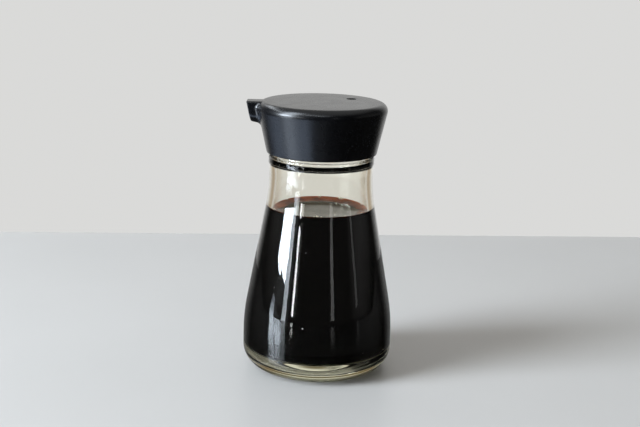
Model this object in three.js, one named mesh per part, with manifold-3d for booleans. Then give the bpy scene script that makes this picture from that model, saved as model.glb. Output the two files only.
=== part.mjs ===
// Soy sauce table bottle: a flared clear glass body, the sauce in it and a black pouring cap.
// Millimetres, +Z up. The origin is on the table, under the middle of the base.

import * as THREE from 'three';
import { mergeVertices } from 'three/addons/utils/BufferGeometryUtils.js';
import Module from 'manifold-3d';

const SEGMENTS = 48;
const FIT_GAP = 0.3;

// Glass body: a wide round-edged base, a convex arc, a straight cone and a concave arc to the neck
const BASE_RADIUS = 30;
const NECK_RADIUS = 20.6;
const WALL = 2.8;
const CORNER_WIDTH = 9.4;
const CORNER_HEIGHT = 9;
const SHOULDER_START = 14.4;
const SHOULDER_ARC = 78;
const CONE_LEAN = THREE.MathUtils.degToRad(10.4);
const NECK_ARC = 77;
const FLARE_STEPS = 12;

// Heavy floor of the glass, hollowed a little below so that it stands on a ring
const PUNT_RADIUS = 18.2;
const PUNT_HEIGHT = 2;
const FLOOR_HEIGHT = 7.2;
const FLOOR_CROWN = 0.8;
const INNER_CORNER = 7;

// Neck above the flare: a low collar under the cap, then the plain finish that the cap sits on.
// Behind the collar the bore narrows to the mouth.
const COLLAR_BOTTOM = 83.1;
const COLLAR_TOP = 86.9;
const COLLAR_PROUD = 0.32;
const COLLAR_ROUND = 0.5;
const FINISH_RADIUS = 19.9;
const MOUTH_RADIUS = 16.2;
const CHOKE_BOTTOM = 83;
const CHOKE_TOP = 85.2;
const LIP_TOP = 102.5;
const LIP_ROUND = 0.9;

// Sauce: level in the middle, and the skin that climbs the wall and dies away from it
const SAUCE_LEVEL = 64.6;
const MENISCUS_RISE = 1.5;
const MENISCUS_DECAY = 2.2;
const MENISCUS_WIDTH = 6;
const MENISCUS_STEPS = 4;

// Cap: one moulding with a skirt that widens upwards, and a short plug that reaches into the mouth
const CAP_BOTTOM = 88;
const CAP_TOP = 108.2;
const CAP_BOTTOM_RADIUS = 21.8;
const CAP_TOP_RADIUS = 26.35;
const CAP_EDGE_ROUND = 3;
const SKIRT_BORE = 20.4;
const PLUG_RADIUS = 15.8;
const PLUG_WALL = 1.5;
const PLUG_BOTTOM = 92;
const TOP_PLATE = 2.5;

// Spout on the cap's left side: flat on top, round below, its end cut at a slant
const SPOUT_ROOT = 22;
const SPOUT_REACH = 29.9;
const SPOUT_TOP = 108;
const SPOUT_WIDTH = 8;
const SPOUT_HEIGHT = 9.2;
const SPOUT_EDGE_ROUND = 0.8;
const SPOUT_TIP_SCALE = 0.9;
const SPOUT_END_SLANT = THREE.MathUtils.degToRad(12);
const CHANNEL_RADIUS = 1.6;
const CHANNEL_HEIGHT = 104.6;
const CHANNEL_END = 18.4;

// Air hole in the cap's top, in a shallow dimple
const AIR_HOLE = new THREE.Vector2(11.5, 8.6);
const AIR_HOLE_RADIUS = 1.2;
const AIR_HOLE_DEPTH = 1.9;
const DIMPLE_RADIUS = 2.2;
const DIMPLE_DEPTH = 0.5;

const wasm = await Module();
wasm.setup();

// Points along an elliptical arc in the half plane of radius and height
function arc(r, z, width, height, from, to, steps) {
  return new THREE.EllipseCurve(r, z, width, height, from, to, to < from).getPoints(steps);
}

function point(r, z) {
  return new THREE.Vector2(r, z);
}

// Points that pass smoothly from one radius to another as the height rises
function easedStep(from, to, steps) {
  return Array.from({ length: steps + 1 }, (_, i) => {
    const t = i / steps;
    const r = THREE.MathUtils.lerp(from.x, to.x, THREE.MathUtils.smoothstep(t, 0, 1));
    return point(r, THREE.MathUtils.lerp(from.y, to.y, t));
  });
}

// Heights at which the flare passes from arc to cone and from cone to arc, on the outer wall.
// The cone touches both arcs, so they follow from the two radii and the lean.
function flareStations() {
  const shoulderEnd = SHOULDER_START + SHOULDER_ARC * Math.sin(CONE_LEAN);
  const shoulderRadius = BASE_RADIUS - SHOULDER_ARC * (1 - Math.cos(CONE_LEAN));
  const throatRadius = NECK_RADIUS + NECK_ARC * (1 - Math.cos(CONE_LEAN));
  const throat = shoulderEnd + (shoulderRadius - throatRadius) / Math.tan(CONE_LEAN);
  const neckStart = throat + NECK_ARC * Math.sin(CONE_LEAN);
  return { shoulderEnd, throat, neckStart };
}

const FLARE = flareStations();

// Radius of the flare at a height, on a wall that lies inset from the outside
function flareRadius(z, inset) {
  const rise = inset * Math.sin(CONE_LEAN);
  const shoulder = SHOULDER_ARC - inset;
  const neck = NECK_ARC + inset;
  const shoulderCentre = BASE_RADIUS - SHOULDER_ARC;
  const neckCentre = NECK_RADIUS + NECK_ARC;
  if (z < FLARE.shoulderEnd - rise) {
    return shoulderCentre + Math.sqrt(shoulder ** 2 - (z - SHOULDER_START) ** 2);
  }
  if (z < FLARE.throat - rise) {
    const start = shoulderCentre + shoulder * Math.cos(CONE_LEAN);
    return start - (z - FLARE.shoulderEnd + rise) * Math.tan(CONE_LEAN);
  }
  return neckCentre - Math.sqrt(neck ** 2 - (FLARE.neckStart - z) ** 2);
}

// Flare from the end of the base corner up to a height, with points at even steps
function flare(inset, top, steps) {
  return Array.from({ length: steps + 1 }, (_, i) => {
    const z = THREE.MathUtils.lerp(SHOULDER_START, top, i / steps);
    return point(flareRadius(z, inset), z);
  });
}

// Floor and round inner corner, from the axis out to the wall
function innerFloor(inset) {
  const corner = INNER_CORNER - inset + WALL;
  const floor = FLOOR_HEIGHT + inset - WALL;
  const wall = BASE_RADIUS - inset;
  return [
    point(0, floor + FLOOR_CROWN),
    ...arc(wall - corner, floor + corner, corner, corner, -Math.PI / 2, 0, 6),
  ];
}

function revolve(outline) {
  return new THREE.LatheGeometry(outline, SEGMENTS).rotateX(Math.PI / 2);
}

function glassGeometry() {
  const puntSphere = (PUNT_RADIUS ** 2 + PUNT_HEIGHT ** 2) / (2 * PUNT_HEIGHT);
  const puntTurn = Math.asin(PUNT_RADIUS / puntSphere);
  const cornerCentre = BASE_RADIUS - CORNER_WIDTH;
  const collar = NECK_RADIUS + COLLAR_PROUD;
  const collarFull = COLLAR_BOTTOM + 2 * COLLAR_ROUND;
  const lip = LIP_TOP - LIP_ROUND;
  const inside = [
    ...innerFloor(WALL),
    ...flare(WALL, FLARE.neckStart, FLARE_STEPS),
    ...easedStep(point(NECK_RADIUS - WALL, CHOKE_BOTTOM), point(MOUTH_RADIUS, CHOKE_TOP), 5),
  ].reverse();
  return revolve([
    ...arc(0, PUNT_HEIGHT - puntSphere, puntSphere, puntSphere, Math.PI / 2, Math.PI / 2 - puntTurn, 3),
    ...arc(cornerCentre, CORNER_HEIGHT, CORNER_WIDTH, CORNER_HEIGHT, -Math.PI / 2, 0, 8),
    ...flare(0, FLARE.neckStart, FLARE_STEPS),
    ...easedStep(point(NECK_RADIUS, COLLAR_BOTTOM), point(collar, collarFull), 4),
    ...arc(collar - COLLAR_ROUND, COLLAR_TOP - COLLAR_ROUND, COLLAR_ROUND, COLLAR_ROUND, 0, Math.PI / 2, 3),
    point(FINISH_RADIUS, COLLAR_TOP),
    ...arc(FINISH_RADIUS - LIP_ROUND, lip, LIP_ROUND, LIP_ROUND, 0, Math.PI / 2, 3),
    ...arc(MOUTH_RADIUS + LIP_ROUND, lip, LIP_ROUND, LIP_ROUND, Math.PI / 2, Math.PI, 3),
    ...inside,
  ]);
}

// Top of the sauce from the wall inwards, closest steps at the wall
function meniscus(wall) {
  return Array.from({ length: MENISCUS_STEPS }, (_, i) => {
    const away = MENISCUS_WIDTH * ((i + 1) / MENISCUS_STEPS) ** 2;
    return point(wall - away, SAUCE_LEVEL + MENISCUS_RISE * Math.exp(-away / MENISCUS_DECAY));
  });
}

function sauceGeometry() {
  const inset = WALL + FIT_GAP;
  const edge = SAUCE_LEVEL + MENISCUS_RISE;
  return revolve([
    ...innerFloor(inset),
    ...flare(inset, edge, FLARE_STEPS - 2),
    ...meniscus(flareRadius(edge, inset)),
    point(0, SAUCE_LEVEL),
  ]);
}

// Skirt, top and plug as one turned shape, open below
function capShellGeometry() {
  const lean = Math.atan((CAP_TOP_RADIUS - CAP_BOTTOM_RADIUS) / (CAP_TOP - CAP_BOTTOM));
  const edgeLength = CAP_EDGE_ROUND / Math.tan((Math.PI / 2 - lean) / 2);
  const edgeCentre = CAP_TOP_RADIUS - edgeLength;
  const seat = LIP_TOP + FIT_GAP;
  const plugBore = PLUG_RADIUS - PLUG_WALL;
  const roof = CAP_TOP - TOP_PLATE;
  return revolve([
    point(0, roof),
    point(plugBore, roof),
    point(plugBore, PLUG_BOTTOM),
    point(PLUG_RADIUS, PLUG_BOTTOM),
    point(PLUG_RADIUS, seat),
    point(SKIRT_BORE, seat),
    point(SKIRT_BORE, CAP_BOTTOM),
    point(CAP_BOTTOM_RADIUS, CAP_BOTTOM),
    ...arc(edgeCentre, CAP_TOP - CAP_EDGE_ROUND, CAP_EDGE_ROUND, CAP_EDGE_ROUND, -lean, Math.PI / 2, 7),
    point(0, CAP_TOP),
  ]);
}

// Spout section: a flat top with rounded edges, upright sides and a half-round underside
function spoutSection() {
  const half = SPOUT_WIDTH / 2;
  const round = SPOUT_EDGE_ROUND;
  const section = new THREE.Shape();
  section.moveTo(half - round, 0);
  section.absarc(half - round, -round, round, Math.PI / 2, 0, true);
  section.absarc(0, half - SPOUT_HEIGHT, half, 0, Math.PI, true);
  section.absarc(round - half, -round, round, Math.PI, Math.PI / 2, true);
  section.closePath();
  return section;
}

// Spout drawn out along -X, growing slimmer to its tip, with the lower edge of the end set back
function spoutGeometry() {
  const reach = SPOUT_REACH - SPOUT_ROOT;
  const geometry = new THREE.ExtrudeGeometry(spoutSection(), {
    depth: reach, bevelEnabled: false, curveSegments: 5,
  });
  const position = geometry.attributes.position;
  for (let i = 0; i < position.count; i++) {
    const along = position.getZ(i) / reach;
    const scale = THREE.MathUtils.lerp(1, SPOUT_TIP_SCALE, along);
    const drop = position.getY(i) * scale;
    const setBack = along * drop * Math.tan(SPOUT_END_SLANT);
    position.setXYZ(i, position.getX(i) * scale, drop, position.getZ(i) + setBack);
  }
  const axes = new THREE.Matrix4().makeBasis(
    new THREE.Vector3(0, -1, 0), new THREE.Vector3(0, 0, 1), new THREE.Vector3(-1, 0, 0),
  );
  return geometry.applyMatrix4(axes).translate(-SPOUT_ROOT, 0, SPOUT_TOP);
}

// Round channel in from the spout's end, as deep as it shows
function channelGeometry() {
  const length = SPOUT_REACH + CHANNEL_RADIUS - CHANNEL_END;
  return new THREE.CylinderGeometry(CHANNEL_RADIUS, CHANNEL_RADIUS, length, 16)
    .rotateZ(Math.PI / 2)
    .translate(-CHANNEL_END - length / 2, 0, CHANNEL_HEIGHT);
}

// Air hole down from the top, as deep as it shows
function airHoleGeometry() {
  return new THREE.CylinderGeometry(AIR_HOLE_RADIUS, AIR_HOLE_RADIUS, 2 * AIR_HOLE_DEPTH, 16)
    .rotateX(Math.PI / 2)
    .translate(AIR_HOLE.x, AIR_HOLE.y, CAP_TOP);
}

function dimpleGeometry() {
  const brim = 2 * DIMPLE_RADIUS - AIR_HOLE_RADIUS;
  return new THREE.CylinderGeometry(brim, AIR_HOLE_RADIUS, 2 * DIMPLE_DEPTH, 16)
    .rotateX(Math.PI / 2)
    .translate(AIR_HOLE.x, AIR_HOLE.y, CAP_TOP);
}

// Closed triangle mesh with shared corners, as a solid that can be joined and cut
function toSolid(geometry) {
  const bare = geometry.clone();
  bare.deleteAttribute('normal');
  bare.deleteAttribute('uv');
  const merged = mergeVertices(bare);
  const corners = merged.index.array;
  const triVerts = [];
  for (let i = 0; i < corners.length; i += 3) {
    const [a, b, c] = corners.slice(i, i + 3);
    if (a !== b && b !== c && c !== a) {
      triVerts.push(a, b, c);
    }
  }
  return new wasm.Manifold(new wasm.Mesh({
    numProp: 3,
    vertProperties: new Float32Array(merged.attributes.position.array),
    triVerts: new Uint32Array(triVerts),
  }));
}

function fromSolid(solid) {
  const mesh = solid.getMesh();
  const geometry = new THREE.BufferGeometry();
  geometry.setAttribute('position', new THREE.BufferAttribute(mesh.vertProperties, mesh.numProp));
  geometry.setIndex(new THREE.BufferAttribute(mesh.triVerts, 1));
  geometry.computeVertexNormals();
  return geometry;
}

function capGeometry() {
  const cap = toSolid(capShellGeometry())
    .add(toSolid(spoutGeometry()))
    .subtract(toSolid(channelGeometry()))
    .subtract(toSolid(airHoleGeometry()))
    .subtract(toSolid(dimpleGeometry()));
  return fromSolid(cap);
}

const clearGlass = new THREE.MeshStandardMaterial({
  color: 0xe9ebe2, roughness: 0.05, metalness: 0, transparent: true, opacity: 0.35,
});
const darkSauce = new THREE.MeshStandardMaterial({ color: 0x0c0604, roughness: 0.08, metalness: 0 });
const blackPlastic = new THREE.MeshStandardMaterial({ color: 0x17181b, roughness: 0.42, metalness: 0 });

function part(name, geometry, material) {
  const mesh = new THREE.Mesh(geometry, material);
  mesh.name = name;
  return mesh;
}

const bottle = new THREE.Group();
bottle.add(
  part('glass_bottle', glassGeometry(), clearGlass),
  part('soy_sauce', sauceGeometry(), darkSauce),
  part('cap', capGeometry(), blackPlastic),
);

export default bottle;
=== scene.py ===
"""Looks of a soy sauce table bottle: flared clear glass, dark sauce and a black pouring cap."""

import math

import bmesh
import bpy
import numpy as np
from bpy.props import FloatProperty, FloatVectorProperty, IntProperty, PointerProperty
from mathutils import Matrix, Vector


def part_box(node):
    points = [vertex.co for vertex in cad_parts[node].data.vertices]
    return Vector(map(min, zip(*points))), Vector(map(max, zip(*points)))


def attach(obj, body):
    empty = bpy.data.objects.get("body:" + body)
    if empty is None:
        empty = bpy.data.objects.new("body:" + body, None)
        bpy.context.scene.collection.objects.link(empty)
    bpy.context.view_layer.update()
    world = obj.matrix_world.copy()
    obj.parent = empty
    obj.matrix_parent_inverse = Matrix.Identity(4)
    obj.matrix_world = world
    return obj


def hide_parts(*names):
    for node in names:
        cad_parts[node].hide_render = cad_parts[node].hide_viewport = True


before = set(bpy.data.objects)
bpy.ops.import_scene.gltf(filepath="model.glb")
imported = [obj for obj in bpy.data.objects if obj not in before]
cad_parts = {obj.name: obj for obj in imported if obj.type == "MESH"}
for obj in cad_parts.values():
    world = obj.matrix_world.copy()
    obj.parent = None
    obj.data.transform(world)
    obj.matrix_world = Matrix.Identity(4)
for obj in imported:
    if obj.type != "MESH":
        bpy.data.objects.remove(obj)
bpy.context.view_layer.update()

bl_info = {
    "name": "Soy Sauce Bottle",
    "version": (1, 0, 0),
    "blender": (4, 5, 0),
    "location": "View3D > Sidebar > Bottle",
    "description": "Builds the glass, the sauce, the cap and the stage of a soy sauce table bottle",
    "category": "Add Mesh",
}

GLASS_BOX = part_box("glass_bottle")
SAUCE_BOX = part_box("soy_sauce")
CAP_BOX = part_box("cap")
BODY = "root"
MM = 0.001
SAME_POINT = 0.002 * MM
WELD = 0.0005 * MM
RIPPLE_SEED = 4.0
AIR_HOLE_STEPS = 48
SHARP_ANGLE = math.radians(38)

# Order of the sauce's materials
DEPTH, SURFACE, RIM, UNDERSIDE = range(4)

# Places of the bubbles round the sauce's edge in degrees, and their radii in millimetres
BUBBLE_SEED = 11
BUBBLE_TURNS = (-93.0, -96.5, -88.5, 91.0, 62.0, 58.5, 65.0, 118.0, 140.0, 20.0, 205.0, 300.0)
BUBBLE_RADII = (0.50, 0.34, 0.26, 0.52, 0.62, 0.40, 0.34, 0.25, 0.3, 0.34, 0.3, 0.28)

# Dust: one larger speck, by its degrees round, height and radius in millimetres, and others at random
DUST_SEED = 23
DUST_COUNT = 15
LARGE_SPECK = (-101.0, 24.0, 0.22)
DUST_HEIGHTS = (12.0, 60.0)
DUST_RADII = (0.05, 0.12)

# Upright panels of light: name, degrees round from the camera's side, width and lower and upper edge in
# degrees as the bottle sees them, distance, radiance and tint
FAR = 1.2
NEAR = 0.46
LAMP_BASE = 0.05
SKY = (0.80, 0.89, 1.0)
HAZE = (0.84, 0.92, 1.0)
BRIGHT_HAZE = (0.96, 0.98, 1.0)
CEILING = (0.88, 0.94, 1.0)
WHITE = (1.0, 1.0, 1.0)
WINDOW_PANELS = (
    ("window_left", -73.4, 9.4, 0.4, 15.0, FAR, 42.0, SKY),
    ("window_left_high", -73.4, 9.4, 15.0, 55.0, FAR, 14.0, SKY),
    ("window_right", -62.6, 11.4, 1.0, 15.0, FAR, 42.0, SKY),
    ("window_right_high", -62.6, 11.4, 15.0, 55.0, FAR, 14.0, SKY),
    ("window_sill", -74.5, 8.4, -6.45, -4.6, NEAR, 8.0, SKY),
    ("window_sill_upper", -74.0, 7.4, -4.6, -3.6, NEAR, 5.0, SKY),
    ("window_sill_edge", -73.4, 6.0, -3.6, -2.6, NEAR, 2.6, SKY),
    ("window_edge", -53.2, 6.6, -6.0, 55.0, FAR, 8.0, HAZE),
    ("window_slit", -39.5, 3.4, -0.4, 6.0, FAR, 20.0, BRIGHT_HAZE),
)
CEILING_STRIPS = (
    ("ceiling_left", -118.0, 76.0, 36.0, 42.0, FAR, 7.0, CEILING),
    ("ceiling_front", -30.0, 76.0, 36.0, 42.0, FAR, 7.0, CEILING),
)
RIGHT_PANELS = (
    ("right_slit", 23.5, 5.0, -0.8, 10.0, FAR, 1.2, WHITE),
    ("right_pane", 65.0, 4.0, -1.0, 12.0, FAR, 0.6, WHITE),
)

# Panels of light that lie on the table: name, middle, width, depth, turn in degrees and radiance
GLARE_CARDS = (
    ("glare_front", (-0.128, -0.105), 0.16, 0.09, -41.0, 3.4),
    ("glare_back", (-0.205, 0.045), 0.10, 0.15, 0.0, 5.0),
)

# Zones of the room by direction: where a zone starts and ends, and its values there
BEHIND = (0.55, 0.97, 0.015, 1.2)
ABOVE = (0.45, 0.95, 0.0, 0.85)
ASIDE = (0.8, 0.97, 0.0, 0.28)
ASIDE_FOOT = (-0.07, 0.01)
SIDE_INNER = (0.20, 0.48)
SIDE_OUTER = (0.62, 0.76, 1.0, 0.0)
SIDE_BACK = (0.0, 0.2)
SHELF_LOWER = (0.225, 0.245)
SHELF_UPPER = (0.34, 0.42, 1.0, 0.0)


def length(name, description, default):
    """A size in metres."""
    return FloatProperty(
        name=name, description=description, default=default, unit="LENGTH", subtype="DISTANCE", precision=5
    )


def angle(name, description, degrees):
    """An angle, given in degrees and held in radians."""
    return FloatProperty(
        name=name, description=description, default=math.radians(degrees), unit="ROTATION", subtype="ANGLE"
    )


def share(name, description, default):
    """A number without a unit."""
    return FloatProperty(name=name, description=description, default=default, precision=4)


def colour(name, description, default):
    """A linear colour."""
    return FloatVectorProperty(
        name=name, description=description, default=default, size=3, subtype="COLOR", min=0.0, max=1.0
    )


def count(name, description, default):
    """A whole number."""
    return IntProperty(name=name, description=description, default=default, min=0)


class GlassSizes(bpy.types.PropertyGroup):
    """Sizes and tint of the glass body."""

    base_radius: length("Base Radius", "Radius at the widest place", float(GLASS_BOX[1][0]))
    neck_radius: length("Neck Radius", "Outer radius of the straight neck", 20.6 * MM)
    wall: length("Wall", "Thickness of the wall", 2.8 * MM)
    corner_width: length("Corner Width", "Width of the round edge of the base", 9.4 * MM)
    corner_height: length("Corner Height", "Height of the round edge of the base", 9.0 * MM)
    shoulder_start: length("Shoulder Start", "Height at which the wall starts to lean in", 14.4 * MM)
    shoulder_arc: length("Shoulder Arc", "Radius of the convex arc above the base", 78.0 * MM)
    cone_lean: angle("Cone Lean", "Lean of the straight part of the flare", 10.4)
    neck_arc: length("Neck Arc", "Radius of the concave arc below the neck", 77.0 * MM)
    punt_radius: length("Punt Radius", "Radius of the hollow under the base", 18.2 * MM)
    punt_height: length("Punt Height", "Height of the hollow under the base", 2.0 * MM)
    floor_height: length("Floor Height", "Height of the inner floor above the table", 7.2 * MM)
    floor_crown: length("Floor Crown", "Rise of the inner floor in the middle", 0.8 * MM)
    inner_corner: length("Inner Corner", "Radius of the inner corner at the floor", 7.0 * MM)
    collar_bottom: length("Collar Bottom", "Height at which the collar starts", 83.1 * MM)
    collar_top: length("Collar Top", "Height of the ledge on the collar", 86.9 * MM)
    collar_proud: length("Collar Proud", "How far the collar stands out from the neck", 0.32 * MM)
    collar_round: length("Collar Round", "Rounding of the collar's ledge", 0.5 * MM)
    finish_radius: length("Finish Radius", "Outer radius of the glass inside the cap", 19.9 * MM)
    finish_bore: length("Finish Bore", "Inner radius of the glass inside the cap", 16.2 * MM)
    choke_bottom: length("Choke Bottom", "Height at which the bore starts to narrow", 83.4 * MM)
    choke_top: length("Choke Top", "Height at which the bore is at its narrowest", 85.5 * MM)
    lip_top: length("Lip Top", "Height of the lip of the glass", float(GLASS_BOX[1][2]))
    lip_round: length("Lip Round", "Rounding of the lip", 0.9 * MM)
    ripple: length("Ripple", "Unevenness of the wall", 0.035 * MM)
    ripple_size: length("Ripple Size", "Distance over which the unevenness changes", 13.0 * MM)
    tint: colour("Tint", "Colour that thick glass passes", (0.90, 0.89, 0.42))
    tint_density: share("Tint Density", "Strength of the tint, per metre", 8.0)
    smudge: share("Smudge", "Roughness of the smeared patches", 0.055)
    stipple: share("Stipple", "Roughness of the stippled patches of the underside", 0.8)
    stipple_top: length("Stipple Top", "Height up to which the underside is stippled", 3.0 * MM)
    stipple_from: share("Stipple From", "How much of the underside is clear", 0.48)
    stipple_edge: share("Stipple Edge", "Softness of the patches' outlines", 0.08)
    stipple_seed: share("Stipple Seed", "Choice of the stippled patches", 5.0)
    segments: count("Segments", "Steps round the axis", 180)


class SauceSizes(bpy.types.PropertyGroup):
    """Sizes and colours of the sauce."""

    rise: length("Meniscus Rise", "How far the sauce climbs the wall", 1.5 * MM)
    decay: length("Meniscus Decay", "Distance from the wall over which the climb dies away", 2.2 * MM)
    edge: length("Edge", "Height at which the sauce meets the wall", float(SAUCE_BOX[1][2]))
    reach: length("Reach", "How far the sauce reaches into the wall, so that no air shows", 0.12 * MM)
    depth_colour: colour("Depth Colour", "Colour in depth", (0.0010, 0.0008, 0.0007))
    rim_share: share("Rim Share", "Share of the climb above which the skin is thin", 0.16)
    rim_colour: colour("Rim Colour", "Colour where the sauce is thin", (0.36, 0.080, 0.016))
    below_colour: colour("Below Colour", "Tone mirrored by the underside", (0.55, 0.54, 0.44))
    below_top: length("Below Top", "Height up to which the underside mirrors the base", 8.4 * MM)
    surface_colour: colour("Surface Colour", "Colour of the still surface", (0.010, 0.0048, 0.0022))
    segments: count("Segments", "Steps round the axis", 160)


class CapSizes(bpy.types.PropertyGroup):
    """Sizes and colours of the cap."""

    bottom: length("Bottom", "Height of the skirt's lower edge", 88.0 * MM)
    top: length("Top", "Height of the top face", float(CAP_BOX[1][2]))
    bottom_radius: length("Bottom Radius", "Radius of the skirt's lower edge", 21.8 * MM)
    top_radius: length("Top Radius", "Radius at which skirt and top would meet", 26.35 * MM)
    edge_round: length("Edge Round", "Rounding of the top edge", 3.0 * MM)
    skirt_bore: length("Skirt Bore", "Inner radius of the skirt", 20.4 * MM)
    seat: length("Seat", "Height of the face that sits on the lip", float(GLASS_BOX[1][2]) + 0.3 * MM)
    plug_radius: length("Plug Radius", "Outer radius of the plug in the mouth", 15.8 * MM)
    plug_wall: length("Plug Wall", "Thickness of the plug", 1.5 * MM)
    plug_bottom: length("Plug Bottom", "Height of the plug's lower edge", 92.0 * MM)
    top_plate: length("Top Plate", "Thickness of the top", 2.5 * MM)
    spout_root: length("Spout Root", "Distance of the spout's root from the axis", 22.0 * MM)
    spout_reach: length("Spout Reach", "Distance of the spout's tip from the axis", 29.9 * MM)
    spout_top: length("Spout Top", "Height of the spout's flat top", 108.0 * MM)
    spout_width: length("Spout Width", "Width of the spout", 8.0 * MM)
    spout_height: length("Spout Height", "Height of the spout", 9.2 * MM)
    spout_round: length("Spout Round", "Rounding of the spout's top edges", 0.8 * MM)
    spout_tip_scale: share("Spout Tip Scale", "Size of the spout's tip against its root", 0.9)
    spout_slant: angle("Spout Slant", "Slant of the spout's end", 12.0)
    spout_fillet: length("Spout Fillet", "Rounding between the spout and the skirt", 1.6 * MM)
    channel_radius: length("Channel Radius", "Radius of the channel in the spout", 1.6 * MM)
    channel_height: length("Channel Height", "Height of the channel", 104.6 * MM)
    hole_x: length("Air Hole X", "Place of the air hole across", 11.5 * MM)
    hole_y: length("Air Hole Y", "Place of the air hole in depth", 8.6 * MM)
    hole_radius: length("Air Hole Radius", "Radius of the air hole", 1.2 * MM)
    hole_depth: length("Air Hole Depth", "Depth of the air hole", 1.9 * MM)
    dimple_radius: length("Dimple Radius", "Radius of the dimple round the air hole", 2.3 * MM)
    dimple_depth: length("Dimple Depth", "Depth of the dimple", 0.5 * MM)
    plastic: colour("Plastic", "Colour of the plastic", (0.0026, 0.0028, 0.0037))
    scuff: colour("Scuff", "Colour of the scuffs", (0.055, 0.057, 0.063))
    roughness: share("Roughness", "Roughness of the plastic", 0.27)
    segments: count("Segments", "Steps round the axis", 200)


class StageSizes(bpy.types.PropertyGroup):
    """Sizes, colours and lights of the stage."""

    floor_colour: colour("Floor", "Colour of the table top", (0.62, 0.60, 0.57))
    mirrored_floor: colour("Mirrored Floor", "Colour of the table top in reflections", (0.02, 0.018, 0.016))
    glare_colour: colour("Glare Colour", "Colour of the window's glare on the table", (0.62, 0.76, 1.0))
    glare_spread: angle("Glare Spread", "Angle within which the glare shines upwards", 134.0)
    wall_colour: colour("Wall", "Colour of the background", (0.70, 0.70, 0.69))
    side_colour: colour("Sides", "Colour of the room's sides, seen through the glass", (0.42, 0.34, 0.25))
    shelf_colour: colour("Shelf", "Colour of the shelf, seen through the glass", (0.115, 0.092, 0.045))
    table_back: length("Table Back", "Distance from the axis to the back edge of the table", 0.212)
    table_front: length("Table Front", "Distance from the axis to the front edge of the table", 0.42)
    table_half: length("Table Half Width", "Distance from the axis to the sides of the table", 0.42)
    table_turn: angle("Table Turn", "Turn of the table's back edge against the view", 4.2)
    camera_distance: length("Camera Distance", "How far in front of the axis the camera is", 0.4938)
    camera_height: length("Camera Height", "How far above the table the camera is", 0.1807)
    camera_pitch: angle("Camera Pitch", "How far down the camera looks", 13.41)
    camera_roll: angle("Camera Roll", "Turn of the camera about its view", 1.50)
    focal: FloatProperty(
        name="Focal Length", description="Focal length of the camera in millimetres", default=71.3
    )


def turned_arc(r, z, width, height, start, end, steps):
    """Points along an elliptical arc in the half plane of radius and height, from start to end degrees."""
    turn = np.radians(np.linspace(start, end, steps + 1))
    return np.column_stack([r + width * np.cos(turn), z + height * np.sin(turn)])


def eased_corner(before, corner, after, steps):
    """Points that round a corner off, from a point before it to a point after it."""
    t = np.linspace(0.0, 1.0, steps + 1)[:, None]
    before, corner, after = np.array(before), np.array(corner), np.array(after)
    return (1 - t) ** 2 * before + 2 * t * (1 - t) * corner + t ** 2 * after


def eased_step(start, end, steps):
    """Points that pass smoothly from one radius to another, along the height."""
    t = np.linspace(0.0, 1.0, steps + 1)
    ease = t * t * (3 - 2 * t)
    return np.column_stack([start[0] + (end[0] - start[0]) * ease, start[1] + (end[1] - start[1]) * t])


def without_doubles(points):
    """The profile without points that repeat the one before."""
    points = np.asarray(points, float)
    step = np.linalg.norm(np.diff(points, axis=0), axis=1)
    return points[np.r_[True, step > SAME_POINT]]


def flare_stations(glass):
    """Heights at which the flare passes from arc to cone, from cone to arc, and into the neck."""
    lean = glass.cone_lean
    shoulder_end = glass.shoulder_start + glass.shoulder_arc * math.sin(lean)
    shoulder_radius = glass.base_radius - glass.shoulder_arc * (1 - math.cos(lean))
    throat_radius = glass.neck_radius + glass.neck_arc * (1 - math.cos(lean))
    throat = shoulder_end + (shoulder_radius - throat_radius) / math.tan(lean)
    return shoulder_end, throat, throat + glass.neck_arc * math.sin(lean)


def flare_radius(glass, z, inset):
    """Radius of the flare at the heights z, on a wall that lies inset from the outside."""
    lean = glass.cone_lean
    shoulder_end, throat, neck_start = flare_stations(glass)
    rise = inset * math.sin(lean)
    shoulder = glass.shoulder_arc - inset
    neck = glass.neck_arc + inset
    middle = glass.base_radius - glass.shoulder_arc
    z = np.asarray(z, float)
    convex = middle + np.sqrt(np.maximum(shoulder ** 2 - (z - glass.shoulder_start) ** 2, 0))
    cone = middle + shoulder * math.cos(lean) - (z - shoulder_end + rise) * math.tan(lean)
    concave = glass.neck_radius + glass.neck_arc - np.sqrt(np.maximum(neck ** 2 - (neck_start - z) ** 2, 0))
    return np.where(z < shoulder_end - rise, convex, np.where(z < throat - rise, cone, concave))


def flare_points(glass, inset, top, steps):
    """Flare from the end of the base's edge up to the height top."""
    z = np.linspace(glass.shoulder_start, top, steps + 1)
    return np.column_stack([flare_radius(glass, z, inset), z])


def inner_floor(glass, inset):
    """Crowned floor and round inner corner, from the axis out to the wall."""
    corner = glass.inner_corner - inset + glass.wall
    floor = glass.floor_height + inset - glass.wall
    wall = glass.base_radius - inset
    r = np.linspace(0.0, wall - corner, 15)
    crown = floor + glass.floor_crown * (1 + np.cos(np.pi * r / (wall - corner))) / 2
    return np.vstack([
        np.column_stack([r, crown]),
        turned_arc(wall - corner, floor + corner, corner, corner, -90, 0, steps=22),
    ])


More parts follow.
